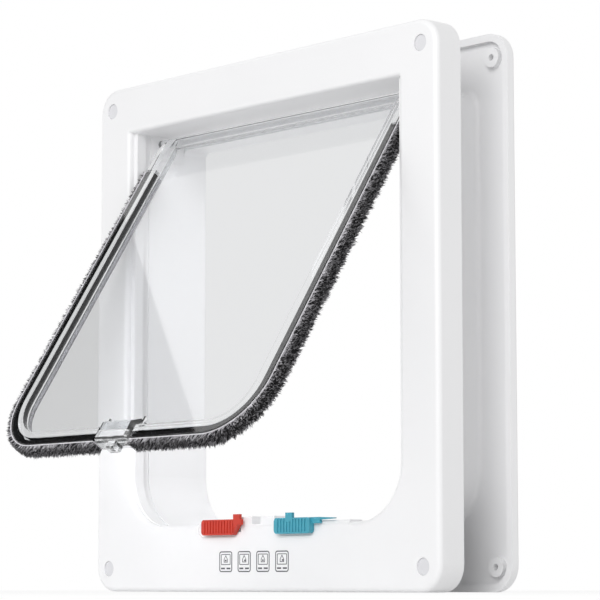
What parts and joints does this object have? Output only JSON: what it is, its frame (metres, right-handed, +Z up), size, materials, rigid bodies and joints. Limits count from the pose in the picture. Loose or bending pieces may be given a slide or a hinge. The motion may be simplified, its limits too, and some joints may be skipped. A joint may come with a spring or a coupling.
{
  "type": "pet flap",
  "caption": "Four-way locking pet flap for a door, with a front frame, a rear frame and liner, a clear swinging panel edged with brush seals, and sliding locks in the sill.",
  "frame": {"origin": "centre of the four-screw pattern, on the plane of the front frame's door face", "axes": "+Z up, +X to the right as seen from the front, +Y from the front frame through the door to the rear frame"},
  "size_m": [0.236, 0.1371, 0.25],
  "materials": {
    "white_plastic": "white moulded ABS, semi-gloss",
    "clear_plastic": "clear moulded polycarbonate, polished",
    "red_plastic": "red moulded acetal, satin",
    "blue_plastic": "blue moulded acetal, satin",
    "brush_pile": "dark grey polypropylene pile on a woven backing",
    "grey_ink": "thin grey pad print"
  },
  "bodies": {
    "frame": {"front_frame": "white_plastic", "rear_frame": "white_plastic", "sill_plate": "white_plastic", "hinge_block_left": "white_plastic", "hinge_block_right": "white_plastic", "screw_cap_low_left": "white_plastic", "screw_cap_low_right": "white_plastic", "screw_cap_top_left": "white_plastic", "screw_cap_top_right": "white_plastic", "sign_1": "grey_ink", "sign_2": "grey_ink", "sign_3": "grey_ink", "sign_4": "grey_ink"},
    "flap": {"flap_panel": "clear_plastic", "catch_block": "clear_plastic", "brush_strip_left": "brush_pile", "brush_strip_right": "brush_pile"},
    "red_slide": {"red_lock": "red_plastic", "red_lock_bolt": "white_plastic"},
    "blue_slide": {"blue_lock": "blue_plastic", "blue_lock_bolt": "white_plastic"}
  },
  "joints": [
    {"name": "flap_swing", "type": "hinge", "parent": "frame", "child": "flap", "pos_m": [0, 0.0047, 0.0975], "axis": [1, 0, 0], "range_deg": [-46, 101], "deforming": ["brush_strip_left", "brush_strip_right"]},
    {"name": "red_lock_slide", "type": "slide", "parent": "frame", "child": "red_slide", "axis": [1, 0, 0], "range_m": [0, 0.008]},
    {"name": "blue_lock_slide", "type": "slide", "parent": "frame", "child": "blue_slide", "axis": [-1, 0, 0], "range_m": [0, 0.007]}
  ]
}
